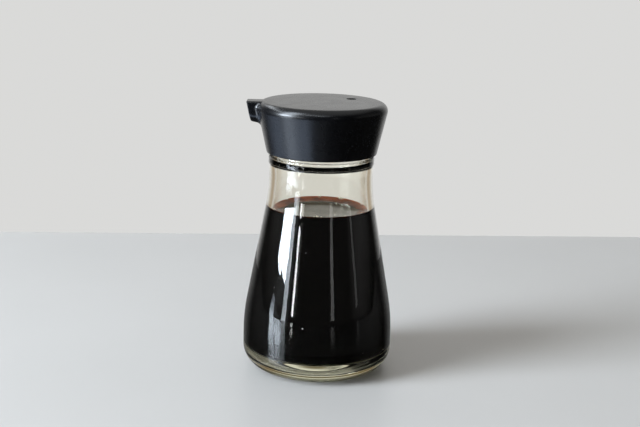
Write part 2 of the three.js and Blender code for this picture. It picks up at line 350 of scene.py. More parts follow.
def glass_profile(glass):
    """Outline of the glass, from the middle of its underside up the outside and down the inside."""
    sphere = (glass.punt_radius ** 2 + glass.punt_height ** 2) / (2 * glass.punt_height)
    ease = 1.3 * MM
    r = np.linspace(0.0, glass.punt_radius - ease, 16)
    punt = np.column_stack([r, glass.punt_height - sphere + np.sqrt(sphere ** 2 - r ** 2)])
    bearing = eased_corner(punt[-1], (glass.punt_radius, 0.0), (glass.punt_radius + ease, 0.0), steps=8)
    corner = turned_arc(
        glass.base_radius - glass.corner_width, glass.corner_height, glass.corner_width,
        glass.corner_height, -90, 0, steps=40,
    )
    neck_start = flare_stations(glass)[2]
    lip = glass.lip_round
    top = glass.lip_top - lip
    collar = glass.neck_radius + glass.collar_proud
    soft = glass.collar_round
    ledge = glass.collar_top - soft
    inside = np.vstack([
        inner_floor(glass, glass.wall),
        flare_points(glass, glass.wall, neck_start, steps=56),
        eased_step(
            (glass.neck_radius - glass.wall, glass.choke_bottom), (glass.finish_bore, glass.choke_top),
            steps=24,
        ),
    ])
    return without_doubles(np.vstack([
        punt, bearing, corner, flare_points(glass, 0.0, neck_start, steps=60),
        eased_step(
            (glass.neck_radius, glass.collar_bottom), (collar, glass.collar_bottom + 2 * soft), steps=12
        ),
        turned_arc(collar - soft, ledge, soft, soft, 0, 90, steps=10),
        eased_corner(
            (glass.finish_radius + soft, glass.collar_top), (glass.finish_radius, glass.collar_top),
            (glass.finish_radius, glass.collar_top + soft), steps=6,
        ),
        turned_arc(glass.finish_radius - lip, top, lip, lip, 0, 90, steps=10),
        turned_arc(glass.finish_bore + lip, top, lip, lip, 90, 180, steps=10),
        inside[::-1],
    ]))


def sauce_profile(glass, sauce):
    """Outline of the sauce, from the floor up the wall and back along its free surface."""
    inset = glass.wall - sauce.reach
    side = np.vstack([inner_floor(glass, inset), flare_points(glass, inset, sauce.edge, steps=60)])
    rings, crowding = 36, 2.2
    away = side[-1, 0] * np.linspace(0.0, 1.0, rings + 1)[1:] ** crowding
    level = sauce.edge - sauce.rise
    surface = np.column_stack([side[-1, 0] - away, level + sauce.rise * np.exp(-away / sauce.decay)])
    surface[-1, 0] = 0.0
    return without_doubles(np.vstack([side, surface]))


def cap_edge(cap):
    """Lean of the skirt, and the radius at which the round edge starts on the top face."""
    lean = math.atan((cap.top_radius - cap.bottom_radius) / (cap.top - cap.bottom))
    return lean, cap.top_radius - cap.edge_round / math.tan((math.pi / 2 - lean) / 2)


def cap_profile(cap):
    """Outline of the cap without its spout, from under the top plate round to the top."""
    lean, edge = cap_edge(cap)
    bore = cap.plug_radius - cap.plug_wall
    roof = cap.top - cap.top_plate
    soft = 0.35 * MM
    up = np.array([math.sin(lean), math.cos(lean)])
    lower = np.array([cap.bottom_radius, cap.bottom])
    plug_foot = cap.plug_bottom + soft
    skirt = lower + up * np.linspace(0.06, 0.82, 12)[:, None] * (cap.top - cap.bottom)
    return without_doubles(np.vstack([
        [[0.0, roof], [bore - soft, roof]],
        [[bore, roof - soft], [bore, plug_foot]],
        turned_arc(bore + soft, plug_foot, soft, soft, 180, 270, steps=5),
        turned_arc(cap.plug_radius - soft, plug_foot, soft, soft, 270, 360, steps=5),
        [[cap.plug_radius, cap.seat], [cap.skirt_bore, cap.seat]],
        eased_corner(
            (cap.skirt_bore, cap.bottom + soft), (cap.skirt_bore, cap.bottom),
            (cap.skirt_bore + soft, cap.bottom), steps=5,
        ),
        eased_corner(lower - (soft, 0.0), lower, lower + up * soft, steps=5),
        skirt,
        turned_arc(
            edge, cap.top - cap.edge_round, cap.edge_round, cap.edge_round, -math.degrees(lean), 90,
            steps=22,
        ),
        [[edge * part, cap.top] for part in (0.75, 0.5, 0.25, 0.0)],
    ]))


def cap_wall_radius(cap, z):
    """Outer radius of the cap at the heights z."""
    lean, edge = cap_edge(cap)
    z = np.asarray(z, float)
    middle = cap.top - cap.edge_round
    skirt = cap.bottom_radius + (z - cap.bottom) * math.tan(lean)
    over = np.clip(z - middle, -cap.edge_round, cap.edge_round)
    rounded = edge + np.sqrt(np.maximum(cap.edge_round ** 2 - over ** 2, 0.0))
    return np.where(z < middle - cap.edge_round * math.sin(lean), skirt, rounded)


def new_tree(name, sockets):
    """A Geometry Nodes tree with named inputs, and the inputs' identifiers."""
    tree = bpy.data.node_groups.new(name, "GeometryNodeTree")
    tree.is_modifier = True
    tree.interface.new_socket(name="Geometry", in_out="OUTPUT", socket_type="NodeSocketGeometry")
    identifiers = {}
    for label, kind in sockets:
        socket = tree.interface.new_socket(name=label, in_out="INPUT", socket_type=kind)
        identifiers[label] = socket.identifier
    return tree, identifiers


def add_node(tree, kind, inputs=(), **settings):
    """Adds a node. An input is linked if it is given as a socket, and set if it is a value."""
    node = tree.nodes.new(kind)
    for key, value in settings.items():
        setattr(node, key, value)
    for key, value in dict(inputs).items():
        socket = node.inputs[key]
        if isinstance(value, bpy.types.NodeSocket):
            tree.links.new(value, socket)
        else:
            socket.default_value = value
    return node


def math_node(tree, operation, first, second=0.0, third=0.0):
    """The result of a Math node."""
    return add_node(
        tree, "ShaderNodeMath", {0: first, 1: second, 2: third}, operation=operation
    ).outputs[0]


def vector_sum(tree, first, second):
    """Two vectors added."""
    return add_node(tree, "ShaderNodeVectorMath", {0: first, 1: second}, operation="ADD").outputs[0]


def scaled_vector(tree, vector, scale):
    """A vector made longer or shorter."""
    return add_node(tree, "ShaderNodeVectorMath", {0: vector, "Scale": scale}, operation="SCALE").outputs[0]


def end_tree(tree, geometry, material):
    """Ends a tree in real geometry with its material."""
    real = add_node(tree, "GeometryNodeRealizeInstances", {0: geometry})
    painted = add_node(tree, "GeometryNodeSetMaterial", {0: real.outputs[0], "Material": material})
    add_node(tree, "NodeGroupOutput", {0: painted.outputs[0]})


def turned_tree():
    """Turns a profile, whose points hold radius in X and height in Z, about the Z axis."""
    tree, identifiers = new_tree("Turned piece", [
        ("Profile", "NodeSocketGeometry"),
        ("Segments", "NodeSocketInt"),
        ("Ripple", "NodeSocketFloat"),
        ("Ripple Size", "NodeSocketFloat"),
        ("Ripple Seed", "NodeSocketFloat"),
        ("Material", "NodeSocketMaterial"),
    ])
    given = add_node(tree, "NodeGroupInput").outputs
    rows = add_node(tree, "GeometryNodeAttributeDomainSize", {0: given["Profile"]}).outputs["Point Count"]
    columns = math_node(tree, "ADD", given["Segments"], 1.0)
    grid = add_node(tree, "GeometryNodeMeshGrid", {"Vertices X": rows, "Vertices Y": columns})
    index = add_node(tree, "GeometryNodeInputIndex").outputs[0]
    row = math_node(tree, "FLOOR", math_node(tree, "DIVIDE", math_node(tree, "ADD", index, 0.5), columns))
    column = math_node(tree, "SUBTRACT", index, math_node(tree, "MULTIPLY", row, columns))
    sample = add_node(
        tree, "GeometryNodeSampleIndex",
        {"Geometry": given["Profile"], "Value": add_node(tree, "GeometryNodeInputPosition").outputs[0],
         "Index": row},
        data_type="FLOAT_VECTOR", domain="POINT",
    )
    parts = add_node(tree, "ShaderNodeSeparateXYZ", {0: sample.outputs[0]}).outputs
    share_round = math_node(tree, "DIVIDE", column, given["Segments"])
    turn = math_node(tree, "MULTIPLY", math_node(tree, "FRACT", share_round), -math.tau)
    way = add_node(
        tree, "ShaderNodeCombineXYZ",
        {0: math_node(tree, "COSINE", turn), 1: math_node(tree, "SINE", turn), 2: 0.0},
    ).outputs[0]
    upward = add_node(tree, "ShaderNodeCombineXYZ", {2: parts["Z"]}).outputs[0]
    place = vector_sum(tree, scaled_vector(tree, way, parts["X"]), upward)
    noise = add_node(
        tree, "ShaderNodeTexNoise",
        {"Vector": place, "W": given["Ripple Seed"], "Detail": 1.0,
         "Scale": math_node(tree, "DIVIDE", 1.0, given["Ripple Size"])},
        noise_dimensions="4D",
    ).outputs[0]
    still_radius = 10 * MM
    fade = math_node(tree, "MINIMUM", math_node(tree, "MULTIPLY", parts["X"], 1 / still_radius), 1.0)
    swell = math_node(
        tree, "MULTIPLY", math_node(tree, "MULTIPLY", math_node(tree, "SUBTRACT", noise, 0.5), fade),
        math_node(tree, "MULTIPLY", given["Ripple"], 2.0),
    )
    moved = vector_sum(tree, place, scaled_vector(tree, way, swell))
    turned_grid = add_node(tree, "GeometryNodeSetPosition", {0: grid.outputs[0], "Position": moved})
    closed = add_node(tree, "GeometryNodeMergeByDistance", {0: turned_grid.outputs[0], "Distance": WELD})
    smooth = add_node(tree, "GeometryNodeSetShadeSmooth", {0: closed.outputs[0]})
    end_tree(tree, smooth.outputs[0], given["Material"])
    return tree, identifiers


def beads_tree():
    """Sets a small round bead on each point, as wide as the point's size says."""
    tree, identifiers = new_tree("Beads", [
        ("Points", "NodeSocketGeometry"),
        ("Flatness", "NodeSocketFloat"),
        ("Material", "NodeSocketMaterial"),
    ])
    given = add_node(tree, "NodeGroupInput").outputs
    ball = add_node(tree, "GeometryNodeMeshIcoSphere", {"Radius": 1.0, "Subdivisions": 3})
    bead = add_node(tree, "GeometryNodeSetShadeSmooth", {0: ball.outputs[0]})
    size = add_node(tree, "GeometryNodeInputNamedAttribute", {"Name": "size"}, data_type="FLOAT").outputs[0]
    facing = add_node(
        tree, "GeometryNodeInputNamedAttribute", {"Name": "facing"}, data_type="FLOAT_VECTOR"
    ).outputs[0]
    turn = add_node(tree, "FunctionNodeAlignRotationToVector", {"Vector": facing}, axis="Z").outputs[0]
    flat = math_node(tree, "MULTIPLY", size, given["Flatness"])
    squash = add_node(tree, "ShaderNodeCombineXYZ", {0: size, 1: size, 2: flat}).outputs[0]
    placed = add_node(
        tree, "GeometryNodeInstanceOnPoints",
        {"Points": given["Points"], "Instance": bead.outputs[0], "Rotation": turn, "Scale": squash},
    )
    end_tree(tree, placed.outputs[0], given["Material"])
    return tree, identifiers


def add_object(name, mesh):
    """A new object in the scene."""
    obj = bpy.data.objects.new(name, mesh)
    bpy.context.scene.collection.objects.link(obj)
    return obj


def points_mesh(name, places, **attributes):
    """A mesh of loose points, with what each point carries."""
    mesh = bpy.data.meshes.new(name)
    mesh.from_pydata([tuple(p) for p in places], [], [])
    for label, values in attributes.items():
        values = np.asarray(values, np.float32)
        vector = values.ndim == 2
        layer = mesh.attributes.new(label, "FLOAT_VECTOR" if vector else "FLOAT", "POINT")
        layer.data.foreach_set("vector" if vector else "value", values.ravel())
    return mesh


def made_by(name, start, tree, values):
    """A piece with the plain mesh that a tree makes of the mesh start."""
    group, identifiers = tree
    obj = add_object(name, start)
    modifier = obj.modifiers.new("Shape", "NODES")
    modifier.node_group = group
    for label, value in values.items():
        modifier[identifiers[label]] = value
    settle(obj, name)
    return obj


def drop_empty_slots(mesh):
    """Takes out material slots that hold nothing, or repeat another, and keeps each face's material."""
    slots = list(mesh.materials)
    kept = list(dict.fromkeys(m for m in slots if m))
    places = np.array([kept.index(m) if m else 0 for m in slots] or [0], np.int32)
    indices = np.zeros(len(mesh.polygons), np.int32)
    mesh.polygons.foreach_get("material_index", indices)
    mesh.materials.clear()
    for material in kept:
        mesh.materials.append(material)
    mesh.polygons.foreach_set("material_index", places[np.minimum(indices, len(places) - 1)])


def settle(obj, name):
    """Turns what the object's modifiers give into its own plain mesh."""
    obj.update_tag()
    depsgraph = bpy.context.evaluated_depsgraph_get()
    mesh = bpy.data.meshes.new_from_object(obj.evaluated_get(depsgraph), depsgraph=depsgraph)
    before = obj.data
    obj.modifiers.clear()
    obj.data = mesh
    bpy.data.meshes.remove(before)
    mesh.name = name
    if not mesh.polygons:
        raise RuntimeError(name + " came out empty")
    drop_empty_slots(mesh)


def turned(name, profile, segments, material, ripple=0.0, ripple_size=0.01):
    """A piece turned from a profile of radius and height."""
    places = [(r, 0.0, z) for r, z in profile]
    return made_by(name, points_mesh(name + "_profile", places), turned_tree(), {
        "Segments": segments,
        "Ripple": ripple,
        "Ripple Size": ripple_size,
        "Ripple Seed": RIPPLE_SEED,
        "Material": material,
    })


def cut_or_join(obj, other, operation):
    """Joins another solid to the piece, or cuts it out, and removes the other."""
    modifier = obj.modifiers.new(operation.title(), "BOOLEAN")
    modifier.operation = operation
    modifier.solver = "EXACT"
    modifier.object = other
    settle(obj, obj.name)
    bpy.data.objects.remove(other)


def finish_piece(obj, node=None):
    """Hands a piece to the frame."""
    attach(obj, BODY)
    if node:
        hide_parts(node)


def new_material(name, constants):
    """A material whose shader holds the constants, with its output and Object coordinates."""
    material = bpy.data.materials.new(name)
    material.use_nodes = True
    tree = material.node_tree
    tree.nodes.clear()
    shader = add_node(tree, "ShaderNodeBsdfPrincipled", constants)
    output = add_node(tree, "ShaderNodeOutputMaterial", {"Surface": shader.outputs[0]})
    place = add_node(tree, "ShaderNodeTexCoord").outputs["Object"]
    return material, tree, shader, output, place


def noise_value(tree, place, scale, detail=2.0, roughness=0.5):
    """A noise between 0 and 1."""
    return add_node(
        tree, "ShaderNodeTexNoise",
        {"Vector": place, "Scale": scale, "Detail": detail, "Roughness": roughness},
    ).outputs[0]


def ranged(tree, value, low, high, to_low=0.0, to_high=1.0, kind="LINEAR"):
    """A value taken from one range to another, held at the ends."""
    return add_node(
        tree, "ShaderNodeMapRange", {0: value, 1: low, 2: high, 3: to_low, 4: to_high},
        interpolation_type=kind,
    ).outputs[0]


def blended(tree, factor, first, second):
    """A mix of two colours."""
    node = add_node(tree, "ShaderNodeMix", {0: factor}, data_type="RGBA")
    for key, value in ((6, first), (7, second)):
        if isinstance(value, bpy.types.NodeSocket):
            tree.links.new(value, node.inputs[key])
        else:
            node.inputs[key].default_value = (*value, 1.0)
    return node.outputs[2]


def clouded(tree, factor, tone, shade):
    """A colour that varies from a darker shade of itself to its full tone."""
    return blended(tree, factor, [shade * v for v in tone], tone)


def height_of(tree, place):
    """Height of a place above the table."""
    return add_node(tree, "ShaderNodeSeparateXYZ", {0: place}).outputs["Z"]


def bumped(tree, height, distance, strength):
    """A normal from a height."""
    return add_node(
        tree, "ShaderNodeBump", {"Height": height, "Distance": distance, "Strength": strength}
    ).outputs[0]


def clear_glass(glass):
    """Clear glass, tinted in depth, with faint smears where it was held and a stippled underside."""
    material, tree, shader, output, place = new_material("bottle_glass", {
        "Base Color": (1.0, 0.99, 0.945, 1.0),
        "Transmission Weight": 1.0,
        "IOR": 1.5,
    })
    held = ranged(tree, noise_value(tree, place, scale=55.0, detail=3.0, roughness=0.6), 0.52, 0.72)
    streaks = add_node(tree, "ShaderNodeMapping", {"Vector": place, "Scale": (1.0, 1.0, 0.12)}).outputs[0]
    smear = math_node(tree, "MULTIPLY", held, noise_value(tree, streaks, scale=260.0))
    low = ranged(
        tree, height_of(tree, place), 0.5 * glass.stipple_top, glass.stipple_top, glass.stipple, 0.0
    )
    worn = add_node(
        tree, "ShaderNodeTexNoise", {"Vector": place, "W": glass.stipple_seed, "Scale": 60.0, "Detail": 2.0},
        noise_dimensions="4D",
    ).outputs[0]
    patches = ranged(tree, worn, glass.stipple_from, glass.stipple_from + glass.stipple_edge)
    stippled = math_node(tree, "MULTIPLY", low, patches)
    rough = math_node(tree, "MAXIMUM", stippled, ranged(tree, smear, 0.0, 0.6, 0.0, glass.smudge))
    tree.links.new(rough, shader.inputs["Roughness"])
    absorb = add_node(
        tree, "ShaderNodeVolumeAbsorption", {"Color": (*glass.tint, 1.0), "Density": glass.tint_density}
    )
    tree.links.new(absorb.outputs[0], output.inputs["Volume"])
    return material


def sauce_in_depth(sauce):
    """Sauce behind glass: nearly black, red-brown where it thins out at the top."""
    material, tree, shader, _, place = new_material("soy_sauce_depth", {
        "Roughness": 0.08,
        "IOR": 1.33,
        "Specular IOR Level": 0.1,
    })
    thin = ranged(tree, height_of(tree, place), sauce.edge - 0.5 * MM, sauce.edge, 0.0, 0.08)
    haze = ranged(tree, noise_value(tree, place, scale=70.0, detail=3.0), 0.4, 0.7, 0.8, 1.25)
    deep = scaled_vector(tree, sauce.depth_colour, haze)
    tree.links.new(blended(tree, thin, deep, sauce.rim_colour), shader.inputs["Base Color"])
    return material


def sauce_surface(sauce):
    """Free surface of the sauce: dark and glossy, with a faint cloud of colour."""
    material, tree, shader, _, place = new_material("soy_sauce_surface", {
        "Roughness": 0.03,
        "IOR": 1.46,
        "Specular Tint": (1.0, 0.96, 0.80, 1.0),
    })
    cloud = noise_value(tree, place, scale=90.0)
    tree.links.new(clouded(tree, cloud, sauce.surface_colour, 0.6), shader.inputs["Base Color"])
    return material


def sauce_rim(sauce):
    """Skin of sauce that climbs the glass: thin, red-brown and with little shine."""
    material, tree, shader, _, place = new_material("soy_sauce_rim", {
        "Roughness": 0.15,
        "IOR": 1.33,
        "Specular IOR Level": 0.1,
    })
    uneven = ranged(tree, noise_value(tree, place, scale=140.0, detail=3.0), 0.35, 0.65, -0.35, 0.35)
    start = sauce.edge - (1 - sauce.rim_share) * sauce.rise
    climb = ranged(tree, height_of(tree, place), start, sauce.edge)
    shade = add_node(tree, "ShaderNodeClamp", {0: math_node(tree, "ADD", climb, uneven)}).outputs[0]
    tree.links.new(clouded(tree, shade, sauce.rim_colour, 0.3), shader.inputs["Base Color"])
    return material


def sauce_underside(sauce):
    """Underside of the sauce, which mirrors the thick base as it is seen at a flat angle."""
    material, tree, shader, _, place = new_material("soy_sauce_underside", {
        "Metallic": 1.0,
        "Roughness": 0.3,
    })
    cloud = ranged(tree, noise_value(tree, place, scale=130.0, detail=3.0), 0.35, 0.65)
    tree.links.new(clouded(tree, cloud, sauce.below_colour, 0.35), shader.inputs["Base Color"])
    return material


def bubble_foam_and_glint_material():
    """Pale skin of the small bubbles: partly the foam's own light tone, partly a painted highlight for the
    glints the bubbles would catch.
    """
    material, tree, shader, _, place = new_material("sauce_bubble", {"Roughness": 0.08, "IOR": 1.4})
    tone = noise_value(tree, place, scale=700.0)
    # Painted highlight: these pale tones stand partly for the foam's own colour and partly for the bubbles'
    # bright glints.
    skin = blended(tree, tone, (0.62, 0.52, 0.38), (0.90, 0.82, 0.68))
    tree.links.new(skin, shader.inputs["Base Color"])
    return material


def black_plastic(cap):
    """Satin black moulded plastic with a fine grain, handling marks and light scuffs."""
    material, tree, shader, _, place = new_material("satin_black_plastic", {"Specular IOR Level": 0.45})
    wear = noise_value(tree, place, scale=160.0, detail=4.0, roughness=0.62)
    grain = noise_value(tree, place, scale=2600.0)
    marks = noise_value(tree, place, scale=620.0, detail=3.0, roughness=0.7)
    scuffed = ranged(tree, math_node(tree, "MULTIPLY", wear, marks), 0.40, 0.52, 0.0, 0.55)
    tree.links.new(blended(tree, scuffed, cap.plastic, cap.scuff), shader.inputs["Base Color"])
    rough = ranged(tree, wear, 0.3, 0.7, cap.roughness - 0.02, cap.roughness + 0.025)
    rough = math_node(tree, "ADD", rough, math_node(tree, "MULTIPLY", scuffed, 0.12))
    tree.links.new(rough, shader.inputs["Roughness"])
    tree.links.new(bumped(tree, grain, distance=0.02 * MM, strength=0.35), shader.inputs["Normal"])
    return material


def dust_material():
    """Pale lint and dust."""
    material, tree, shader, _, place = new_material("pale_dust", {"Roughness": 0.8})
    tone = noise_value(tree, place, scale=900.0)
    lint = blended(tree, tone, (0.45, 0.44, 0.42), (0.85, 0.85, 0.84))
    tree.links.new(lint, shader.inputs["Base Color"])
    return material


class BOTTLE_OT_glass(bpy.types.Operator):
    """Make the glass body"""

    bl_idname = "bottle.glass"
    bl_label = "Glass Body"

    def execute(self, context):
        glass = context.scene.bottle_glass
        body = turned(
            "glass_body", glass_profile(glass), glass.segments, clear_glass(glass), glass.ripple,
            glass.ripple_size,
        )
        finish_piece(body, "glass_bottle")
        return {"FINISHED"}


class BOTTLE_OT_sauce(bpy.types.Operator):
    """Make the sauce, which reaches just into the wall"""

    bl_idname = "bottle.sauce"
    bl_label = "Sauce"

    def execute(self, context):
        glass = context.scene.bottle_glass
        sauce = context.scene.bottle_sauce
        fill = turned("sauce_fill", sauce_profile(glass, sauce), sauce.segments, sauce_in_depth(sauce))
        for material in (sauce_surface(sauce), sauce_rim(sauce), sauce_underside(sauce)):
            fill.data.materials.append(material)
        level = sauce.edge - sauce.rise
        rim_start = level + sauce.rim_share * sauce.rise
        below_level = 0.2 * MM
        least_upward = 0.2
        for face in fill.data.polygons:
            height = face.center.z
            if height > level - below_level and face.normal.z > least_upward:
                face.material_index = RIM if height > rim_start else SURFACE
            elif height < sauce.below_top:
                face.material_index = UNDERSIDE
        finish_piece(fill, "soy_sauce")
        return {"FINISHED"}


class BOTTLE_OT_bubbles(bpy.types.Operator):
    """Make the small bubbles where the sauce meets the glass"""

    bl_idname = "bottle.bubbles"
    bl_label = "Bubbles"

    def execute(self, context):
        glass = context.scene.bottle_glass
        sauce = context.scene.bottle_sauce
        random = np.random.default_rng(BUBBLE_SEED)
        turns = np.radians(BUBBLE_TURNS)
        sizes = np.array(BUBBLE_RADII) * MM
        wall = float(flare_radius(glass, sauce.edge, glass.wall))
        away = sizes * random.uniform(0.9, 1.4, len(sizes))
        lift = 0.6 * sizes
        heights = sauce.edge - sauce.rise + sauce.rise * np.exp(-away / sauce.decay) + lift
        places = np.column_stack([(wall - away) * np.cos(turns), (wall - away) * np.sin(turns), heights])
        facing = np.tile((0.0, 0.0, 1.0), (len(sizes), 1))
        start = points_mesh("bubble_points", places, size=sizes, facing=facing)
        bubbles = made_by("sauce_bubbles", start, beads_tree(), {
            "Flatness": 0.8,
            "Material": bubble_foam_and_glint_material(),
        })
        finish_piece(bubbles)
        return {"FINISHED"}


def spout_section(cap, steps):
    """Section of the spout and its outward normals: flat on top, round below. Heights are from the top."""
    half = cap.spout_width / 2
    soft = cap.spout_round
    top = np.column_stack([np.linspace(half - soft, soft - half, 9), np.zeros(9)])
    left = turned_arc(soft - half, -soft, soft, soft, 90, 180, steps=6)
    low = half - cap.spout_height
    side = np.column_stack([np.full(8, -half), np.linspace(-soft, low, 8)])
    under = turned_arc(0.0, low, half, half, 180, 360, steps)
    mirror = (-1, 1)
    right_side = (side * mirror)[::-1]
    right = (left * mirror)[::-1]
    section = np.vstack([top, left[1:], side[1:], under[1:], right_side[1:], right[1:-1]])
    along = np.roll(section, -1, axis=0) - np.roll(section, 1, axis=0)
    normal = np.column_stack([along[:, 1], -along[:, 0]])
    normal /= np.linalg.norm(normal, axis=1)[:, None]
    return section, normal * np.sign(np.sum(normal * (section - section.mean(axis=0))))


def spout_loops(cap):
    """Rings of points along the spout: root inside the skirt, fillet, tip, end face and channel."""
    section, normal = spout_section(cap, steps=24)
    reach = cap.spout_reach - cap.spout_root
    slant = math.tan(cap.spout_slant)
    flat_part, blend = 0.2 * cap.spout_round, 2.2 * cap.spout_round
    hold = np.clip((-section[:, 1] - flat_part) / blend, 0.0, 1.0)
    hold = hold * hold * (3 - 2 * hold)

    def ring(out, push):
        """Ring at a distance out from the skirt, pushed sideways for the fillet."""
        scale = np.ones(len(section))
        for _ in range(4):
            y = section[:, 0] * scale + normal[:, 0] * push * hold
            drop = section[:, 1] * scale + normal[:, 1] * push * hold
            wall = np.sqrt(cap_wall_radius(cap, cap.spout_top + drop) ** 2 - y ** 2)
            along = np.clip((wall + out - cap.spout_root) / reach, 0.0, 1.0)
            scale = 1 - (1 - cap.spout_tip_scale) * along
        return np.column_stack([-(wall + out), y, cap.spout_top + drop])

    fillet = cap.spout_fillet
    foot = 1.02 * fillet
    loops = [ring(-1.2 * MM, foot), ring(-0.06 * MM, foot)]
    for turn in np.radians(np.linspace(4, 90, 10)):
        loops.append(ring(fillet * (1 - math.cos(turn)), fillet * (1 - math.sin(turn))))
    y = section[:, 0] * cap.spout_tip_scale
    drop = section[:, 1] * cap.spout_tip_scale
    tip = np.column_stack([-(cap.spout_reach + drop * slant), y, cap.spout_top + drop])
    root = loops[-1]
    soft = 0.4 * MM
    for step in (0.25, 0.5, 0.75):
        loops.append(root + (tip - root) * step)
    loops.append(tip + (soft, 0.0, 0.0))
    inward = np.column_stack([np.zeros(len(y)), -normal[:, 0], -normal[:, 1]])
    for turn in np.radians(np.linspace(15, 90, 6)):
        loops.append(tip + (soft * (1 - math.sin(turn)), 0.0, 0.0) + inward * soft * (1 - math.cos(turn)))
    face = loops[-1]
    middle = np.array([0.0, cap.channel_height])
    to_edge = face[:, 1:] - middle
    unit = to_edge / np.linalg.norm(to_edge, axis=1)[:, None]

    def mouth(radius, depth):
        """Ring of the channel at a depth behind the slanted end."""
        place = middle + unit * radius
        drop = place[:, 1] - cap.spout_top
        return np.column_stack([-(cap.spout_reach + drop * slant) + depth, place])

    lip = 0.3 * MM
    outer = mouth(cap.channel_radius + lip, 0.0)
    loops += [face + (outer - face) * 0.5, outer]
    for turn in np.radians(np.linspace(30, 90, 3)):
        loops.append(mouth(cap.channel_radius + lip * (1 - math.sin(turn)), lip * (1 - math.cos(turn))))
    for depth in (1.5, 3.0, 4.6):
        loops.append(mouth(cap.channel_radius, depth * MM))
    return loops


def loft(name, loops):
    """A closed solid through rings of points, with both ends filled."""
    shape = bmesh.new()
    rings = [[shape.verts.new(p) for p in loop] for loop in loops]
    size = len(rings[0])
    for first, second in zip(rings, rings[1:]):
        for i in range(size):
            j = (i + 1) % size
            shape.faces.new((first[i], first[j], second[j], second[i]))
    for ring, loop in ((rings[0], loops[0]), (rings[-1], loops[-1])):
        middle = shape.verts.new(np.mean(loop, axis=0))
        for i in range(size):
            shape.faces.new((ring[i], ring[(i + 1) % size], middle))
    bmesh.ops.recalc_face_normals(shape, faces=shape.faces)
    mesh = bpy.data.meshes.new(name)
    shape.to_mesh(mesh)
    shape.free()
    return add_object(name, mesh)


class BOTTLE_OT_cap(bpy.types.Operator):
    """Make the cap with its spout and air hole"""

    bl_idname = "bottle.cap"
    bl_label = "Cap"

    def execute(self, context):
        cap = context.scene.bottle_cap
        plastic = black_plastic(cap)
        body = turned("pouring_cap", cap_profile(cap), cap.segments, plastic)
        spout = loft("spout", spout_loops(cap))
        spout.data.materials.append(plastic)
        cut_or_join(body, spout, "UNION")
        lip = 0.25 * MM
        floor = cap.top - cap.hole_depth
        deep = cap.top - cap.dimple_depth
        hole_edge = (cap.hole_radius + lip, deep + 0.03 * MM)
        dish = (cap.dimple_radius - 0.5 * MM, deep + 0.05 * MM)
        hollow = np.vstack([
            [[0.0, floor], [cap.hole_radius, floor]],
            eased_corner((cap.hole_radius, deep - lip), (cap.hole_radius, deep), hole_edge, steps=4),
            eased_corner(hole_edge, dish, (cap.dimple_radius, cap.top + 0.01 * MM), steps=6),
            [[cap.dimple_radius, cap.top + MM], [0.0, cap.top + MM]],
        ])
        hole = turned("air_hole", without_doubles(hollow), AIR_HOLE_STEPS, plastic)
        hole.data.transform(Matrix.Translation((cap.hole_x, cap.hole_y, 0.0)))
        cut_or_join(body, hole, "DIFFERENCE")
        body.data.shade_smooth()
        body.data.set_sharp_from_angle(angle=SHARP_ANGLE)
        finish_piece(body, "cap")
        return {"FINISHED"}


class BOTTLE_OT_dust(bpy.types.Operator):
    """Make the few specks of dust on the glass"""

    bl_idname = "bottle.dust"
    bl_label = "Dust"

    def execute(self, context):
        glass = context.scene.bottle_glass
        random = np.random.default_rng(DUST_SEED)
        turn, height, radius = LARGE_SPECK
        turns = np.radians(np.r_[turn, random.uniform(0, 360, DUST_COUNT)])
        z = np.r_[height, random.uniform(*DUST_HEIGHTS, DUST_COUNT)] * MM
        r = flare_radius(glass, z, 0.0)
        step = 0.01 * MM
        slope = (flare_radius(glass, z + step, 0.0) - r) / step
        facing = np.column_stack([np.cos(turns), np.sin(turns), -slope])
        sizes = np.r_[radius, random.uniform(*DUST_RADII, DUST_COUNT)] * MM
        places = np.column_stack([r * np.cos(turns), r * np.sin(turns), z])
        start = points_mesh("dust_points", places, size=sizes, facing=facing)
        dust = made_by("dust_specks", start, beads_tree(), {"Flatness": 0.35, "Material": dust_material()})
        finish_piece(dust)
        return {"FINISHED"}


def towards(azimuth, elevation=0.0):
    """Direction at an azimuth from the camera's side, in degrees, positive to the right."""
    a, e = math.radians(azimuth), math.radians(elevation)
    return Vector((math.sin(a) * math.cos(e), -math.cos(a) * math.cos(e), math.sin(e)))


def light_panel(name, wide, high, radiance, tint):
    """A rectangle of light that is not seen directly."""
    data = bpy.data.lights.new(name, "AREA")
    data.shape = "RECTANGLE"
    data.size, data.size_y = wide, high
    data.energy = radiance * math.pi * wide * high
    data.color = tint
    lamp = add_object(name, data)
    lamp.visible_camera = False
    return lamp


def softbox(name, azimuth, wide, low, high, distance, radiance, tint):
    """An upright panel of light that spans the given degrees as the bottle sees it."""
    bottom, top = (distance * math.tan(math.radians(e)) for e in (low, high))
    width = 2 * distance * math.tan(math.radians(wide / 2))
    lamp = light_panel(name, width, top - bottom, radiance, tint)
    lamp.location = towards(azimuth) * distance + Vector((0.0, 0.0, LAMP_BASE + (bottom + top) / 2))
    lamp.rotation_euler = towards(azimuth).to_track_quat("Z", "Y").to_euler()
    return lamp


def glare_card(stage, name, middle, wide, deep, turn, radiance):
    """A panel of light that lies on the table, shines upwards only and shows in glossy pieces only."""
    card = light_panel(name, wide, deep, radiance, stage.glare_colour)
    card.data.spread = stage.glare_spread
    card.visible_diffuse = False
    card.visible_transmission = False
    card.location = (*middle, MM)
    card.rotation_euler = (math.pi, 0.0, math.radians(turn))


